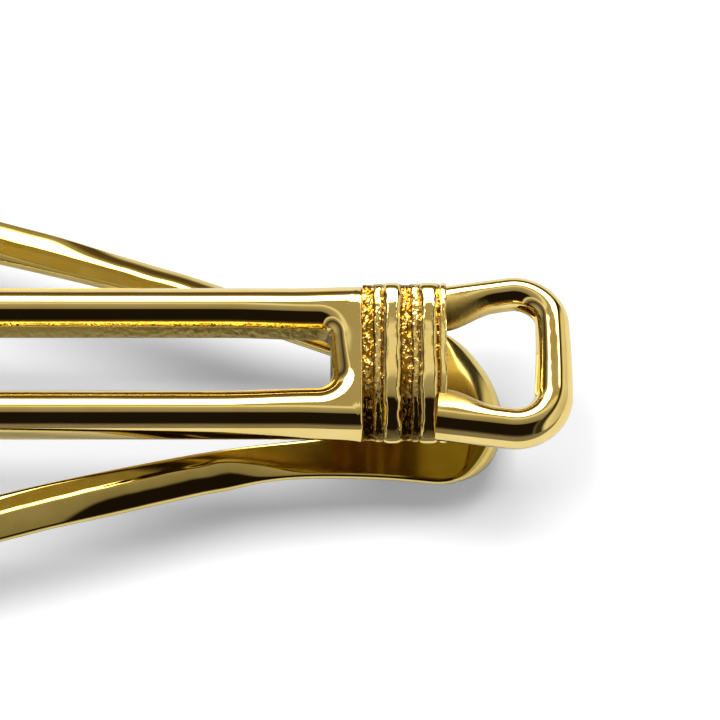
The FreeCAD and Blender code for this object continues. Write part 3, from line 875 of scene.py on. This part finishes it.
# How far a face turns up and aside, where the painted brown of the flats and the painted shade on the tongue
# fade
FLAT_UP, FLAT_ASIDE = (0.945, 0.985), (0.07, 0.14)
TONGUE_SHADE_UP, TONGUE_SHADE_TILT = (0.935, 0.965), 0.2
TONGUE_SHADE_FROM, TONGUE_SHADE_NEAR = (21.6, 22.3), (-1.6, 0.8)
FAR_TONGUE_SHADE, NEAR_TONGUE_SHADE = 0.4, 0.6


def stamped_dull(place):
    """The arms are bright, and the tongue is rubbed dull by cloth."""
    return place.axis(0).between(*RUBBED_FROM) * RUBBED_ROUGHNESS + BRIGHT_ROUGHNESS


def flats_painted_shade(place):
    """Faces of the flats that look up are painted brown as shade and dark reflection, and are a little
    duller; the bevels and the rolled rim keep the plain gold.
    """
    facing = place.add("ShaderNodeTexCoord", {}, {}, "Normal")
    flat = facing.axis(2).between(*FLAT_UP) * (1 - abs(facing.axis(1)).between(*FLAT_ASIDE))
    return flat * (0.8 + place.noise(0.8, 3.0).between(0.3, 0.7) * 0.2)


def tongue_painted_shade(place):
    """Painted shade and dark reflection on the end of the tongue where it faces up, more so on its near
    half.
    """
    facing = place.add("ShaderNodeTexCoord", {}, {}, "Normal")
    near = 1 - place.axis(1).between(*TONGUE_SHADE_NEAR)
    flat = (facing.axis(2) + near * TONGUE_SHADE_TILT).between(*TONGUE_SHADE_UP) * place.axis(0).between(*TONGUE_SHADE_FROM)
    return flat * (FAR_TONGUE_SHADE + near * NEAR_TONGUE_SHADE)


STAMPED = (0.78, 0.60, 0.19, 1.0)
DEEP_STAMPED = (0.70, 0.52, 0.14, 1.0)
# Painted shade: the brown laid on faces of the flats that look up, for the dark they reflect.
FLAT_SHADE_BROWN = (0.36, 0.22, 0.02, 1.0)
# Painted shade: the deep brown laid on the end of the tongue.
TONGUE_SHADE = (0.12, 0.068, 0.003, 1.0)
# The jaw's flats and the end of its tongue take painted shade.
stamped_gold = finish_gold("stamped_gold", (STAMPED, DEEP_STAMPED), 0.5, 0.004, stamped_dull, flats_painted_shade,
                           FLAT_SHADE_BROWN, 0.0, (tongue_painted_shade, TONGUE_SHADE))
jaw_mesh = stamped_sheet()
jaw_mesh.materials.append(stamped_gold)
add_piece("clip_jaw_sheet", jaw_mesh, "jaw", "clip_jaw")

# Leaf spring and rivet: a strip of hard brass lies on the lever, rises from its foot and slides under the
# bar's tail with a curled toe. It keeps a rolled satin face, and a domed rivet holds its foot.
LEAF_HALF = 2.2
LEAF_THICK = 0.25
LEAF_FOOT = 3.6
LEAF_RISE = 16.0
LEAF_BEND = 1.5
TOE_RADIUS = 1.2
TOE_TURN = 20.0
TOE_GAP = 0.05
LEAF_EASE = 0.06
RIVET_X = -16.0
FOOT_STEPS, LEAF_BEND_STEPS, RISE_STEPS, TOE_STEPS = 12, 10, 30, 14
ROLLED_STRETCH = (0.25, 5.0, 5.0)
STRIP = (0.66, 0.46, 0.14, 1.0)
PALE_STRIP = (0.80, 0.60, 0.24, 1.0)


def polar(centre, radius, degrees):
    """Point at an angle round a centre."""
    turn = math.radians(degrees)
    return Vector(centre) + radius * Vector((math.cos(turn), math.sin(turn)))


def leaf_path():
    """Middle of the strip in side view: foot on the lever, bend, rising run and toe."""
    rising = LEVER_TURN + LEAF_RISE
    middle = polar((RIVET_X, jaw_height(RIVET_X)), LEAF_THICK / 2, 90 + LEVER_TURN)
    heel = polar(middle, LEAF_FOOT / 2, 180 + LEVER_TURN)
    ball = polar(middle, LEAF_FOOT / 2, LEVER_TURN)
    centre = polar(ball, LEAF_BEND, 90 + LEVER_TURN)
    bend = arc(centre, LEAF_BEND, LEVER_TURN - 90, rising - 90, LEAF_BEND_STEPS)
    highest = BAR_BACK - TOE_GAP - LEAF_THICK / 2
    rise = highest - TOE_RADIUS * (1 - math.cos(math.radians(rising))) - bend[-1][1]
    top = polar(bend[-1], rise / math.sin(math.radians(rising)), rising)
    toe = arc(polar(top, TOE_RADIUS, rising - 90), TOE_RADIUS, rising + 90, 90 - TOE_TURN, TOE_STEPS)
    foot = [tuple(heel)] + line(heel, ball, FOOT_STEPS)
    return foot + bend[1:] + line(bend[-1], top, RISE_STEPS) + toe[1:]


def leaf_rows(path):
    """Sections of the strip with its edges eased, square to its path."""
    path = [Vector(point) for point in path]
    half, thick, ease = LEAF_HALF, LEAF_THICK / 2, LEAF_EASE
    ring = [(half, thick - ease), (half - ease, thick), (-half + ease, thick), (-half, thick - ease),
            (-half, ease - thick), (-half + ease, -thick), (half - ease, -thick), (half, ease - thick)]
    rows = []
    for before, point, after in zip(path[:1] + path, path, path[1:] + path[-1:]):
        along = (after - before).normalized()
        up = Vector((-along.y, along.x))
        rows.append([(point.x + up.x * off, y, point.y + up.y * off) for y, off in ring])
    return rows


spring_leaf, tree, shader, place = new_material("spring_leaf")
rolled = place.stretched(*ROLLED_STRETCH).noise(3.0, 4.0, 0.65)
tree.links.new(rolled.blend(STRIP, PALE_STRIP).socket, shader.inputs["Base Color"])
tree.links.new((rolled * 0.2 + 0.2).socket, shader.inputs["Roughness"])
side_view = leaf_path()
strip = skin("leaf_spring_strip", leaf_rows(side_view), spring_leaf)
leaf = bpy.data.objects.new("leaf_spring_strip", strip)
scene.collection.objects.link(leaf)
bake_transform(leaf)
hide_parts("leaf_spring")
rivet_gold, tree, shader, place = new_material("rivet_gold")
hammered = place.noise(2.5, 3.0)
tree.links.new(hammered.blend(STAMPED, DEEP_GOLD).socket, shader.inputs["Base Color"])
tree.links.new((hammered * 0.12 + 0.08).socket, shader.inputs["Roughness"])
dress("spring_rivet", rivet_gold)

# Table, light tent, grey card and lamp: a white table top, a soft box overhead and a tent of cloth whose
# front is in shade, which gives polished metal its dark bands. The grey card is painted shade, seen only in
# reflections, for the table in front lying in shade. None of it is part of the clip.
LOOK_AT = Vector((20.41, 0.0, BAR_MIDDLE)) * MM
TABLE_GLOW = 0.26
PAPER_WHITE = (0.86, 0.86, 0.86, 1.0)
SHADED_TABLE_GREY = (0.22, 0.21, 0.20, 1.0)
SHADE = (0.012, 0.008, 0.006)
GLEAM = (0.85, 0.82, 0.74)
DUSK = (0.04, 0.03, 0.02)
BRIGHT = (1.8, 1.75, 1.65)
DAYLIGHT = (1.0, 0.98, 0.95, 1.0)
WINDOW_POWER = 7
DAY_STARTS, DAY_ENDS = (0.694, 0.706), (0.83, 0.86)
SIDES_START = (0.46, 0.6)
LAMP_ANGLE, LAMP_DISTANCE = 92, 0.35
# Colours of the cloth from front to back over the clip, and from the left side to the right
OVERHEAD = ((0.0, (0.16, 0.14, 0.12)), (0.07, SHADE), (0.40, SHADE), (0.425, (0.26, 0.24, 0.20)),
            (0.57, (0.42, 0.40, 0.34)), (0.61, GLEAM), (0.64, GLEAM), (0.655, (0.40, 0.36, 0.27)),
            (0.87, (0.42, 0.38, 0.28)), (0.90, (0.14, 0.10, 0.05)), (0.97, (0.10, 0.065, 0.03)),
            (1.0, (0.5, 0.47, 0.42)))
SIDES = ((0.0, (0.5, 0.48, 0.44)), (0.12, (0.03, 0.02, 0.015)), (0.2, (0.4, 0.38, 0.33)), (0.25, BRIGHT),
         (0.32, BRIGHT), (0.38, (0.45, 0.42, 0.36)), (0.74, (0.42, 0.40, 0.34)), (0.78, DUSK), (0.84, DUSK),
         (0.88, (0.85, 0.82, 0.72)), (1.0, (0.6, 0.58, 0.52)))
CARD = ((-150, -15.5, 0.2), (-150, -300, 0.2), (190, -300, 0.2), (190, -15.5, 0.2))


def stage_mesh(name, build):
    """A piece of the studio, which build makes in an empty mesh."""
    mesh = bpy.data.meshes.new(name)
    shape = bmesh.new()
    build(shape)
    shape.to_mesh(mesh)
    shape.free()
    piece = bpy.data.objects.new(name, mesh)
    scene.collection.objects.link(piece)
    return piece


def mirror_only(piece):
    """Shows a piece in reflections alone."""
    piece.visible_camera = False
    piece.visible_diffuse = False
    piece.visible_shadow = False


table = stage_mesh("table", lambda shape: bmesh.ops.create_grid(shape, x_segments=1, y_segments=1, size=3.0))
paper = bpy.data.materials.new("white_paper")
paper.use_nodes = True
tree = paper.node_tree
matt = tree.nodes["Principled BSDF"]
matt.inputs["Base Color"].default_value = PAPER_WHITE
matt.inputs["Roughness"].default_value = 0.9
matt.inputs["Specular IOR Level"].default_value = 0.0
seen = Value(tree).add("ShaderNodeLightPath", {}, {}, "Is Camera Ray")
glow = seen.add("ShaderNodeEmission", {}, {"Color": (1, 1, 1, 1), "Strength": seen * TABLE_GLOW})
both = glow.add("ShaderNodeAddShader", {}, {0: Value(tree, matt.outputs[0]), 1: glow})
tree.links.new(both.socket, tree.nodes["Material Output"].inputs["Surface"])
table.data.materials.append(paper)

tent = stage_mesh("light_tent", lambda shape: bmesh.ops.create_uvsphere(shape, u_segments=48, v_segments=24,
                                                                       radius=1.5))
cloth = bpy.data.materials.new("tent_cloth")
cloth.use_nodes = True
tree = cloth.node_tree
tree.nodes.remove(tree.nodes["Principled BSDF"])
toward = Value(tree).add("ShaderNodeTexCoord", {}, {}, "Object")
toward = toward.add("ShaderNodeVectorMath", {"operation": "NORMALIZE"}, {0: toward})
side, depth, height = (toward.axis(i) for i in range(3))
turn = height.maths("ARCTAN2", depth * -1) / math.pi
band = turn.add("ShaderNodeValToRGB", {"stops": OVERHEAD}, {"Fac": turn})
across = side * 0.5 + 0.5
flank = across.add("ShaderNodeValToRGB", {"stops": SIDES}, {"Fac": across})
aside = abs(side).between(*SIDES_START)
tint = aside.blend(band, flank)
window = turn.between(*DAY_STARTS) * (1 - turn.between(*DAY_ENDS)) * (1 - aside)
shine = tint.add("ShaderNodeEmission", {}, {"Color": window.blend(tint, DAYLIGHT),
                                            "Strength": 1 + window * WINDOW_POWER})
tree.links.new(shine.socket, tree.nodes["Material Output"].inputs["Surface"])
tent.data.materials.append(cloth)
mirror_only(tent)

# Grey card: painted shade, a sheet seen only in reflections that stands for the table in front in shade.
flag = stage_mesh("grey_card", lambda shape: shape.faces.new([shape.verts.new(Vector(corner) * MM)
                                                              for corner in CARD]))
card_shade = bpy.data.materials.new("painted_table_shade")
card_shade.use_nodes = True
matt = card_shade.node_tree.nodes["Principled BSDF"]
matt.inputs["Base Color"].default_value = SHADED_TABLE_GREY
matt.inputs["Specular IOR Level"].default_value = 0.0
flag.data.materials.append(card_shade)
mirror_only(flag)

world = bpy.data.worlds.new("studio")
scene.world = world
world.use_nodes = True
tree = world.node_tree
ray = tree.nodes.new("ShaderNodeLightPath")
seen, glossy, clear = (Value(tree, ray.outputs[name]) for name in ("Is Camera Ray", "Is Glossy Ray",
                                                                 "Is Transmission Ray"))
shown = seen.at_least(glossy).at_least(clear)
tree.links.new((shown * 0.8 + 0.2).socket, tree.nodes["Background"].inputs["Strength"])
tree.nodes["Background"].inputs["Color"].default_value = (1, 1, 1, 1)


def lamp(name, place, wide, deep, power):
    """Soft box that faces the clip."""
    light = bpy.data.lights.new(name, "AREA")
    light.shape = "RECTANGLE"
    light.size = wide
    light.size_y = deep
    light.energy = power
    piece = bpy.data.objects.new(name, light)
    piece.location = LOOK_AT + place
    piece.rotation_mode = "QUATERNION"
    piece.rotation_quaternion = (-place).to_track_quat("-Z", "Y")
    piece.visible_camera = False
    piece.visible_glossy = False
    scene.collection.objects.link(piece)


overhead = math.radians(LAMP_ANGLE)
lamp_place = Vector((0, -math.cos(overhead), math.sin(overhead))) * LAMP_DISTANCE
lamp("soft_box", lamp_place, wide=0.26, deep=0.2, power=1.25)
scene.cycles.caustics_reflective = False
scene.view_settings.view_transform = "Standard"

# Camera: a long lens in front of the bar and 60 degrees above the table, as for the photograph. It takes in
# the tip of the clip, at 28 pixels a millimetre.
CAMERA_ANGLE = 60
LENS = 200.0
SENSOR = 36.0
PICTURE = 720
PIXELS_A_MILLIMETRE = 28
FIELD = PICTURE / PIXELS_A_MILLIMETRE * MM
view = math.radians(CAMERA_ANGLE)
back = Vector((0, -math.cos(view), math.sin(view)))
camera = bpy.data.objects.new("camera", bpy.data.cameras.new("camera"))
camera.data.lens = LENS
camera.data.sensor_width = SENSOR
camera.data.clip_start = MM
camera.location = LOOK_AT + back * (FIELD * LENS / SENSOR)
camera.rotation_mode = "QUATERNION"
camera.rotation_quaternion = (-back).to_track_quat("-Z", "Y")
scene.collection.objects.link(camera)
scene.camera = camera
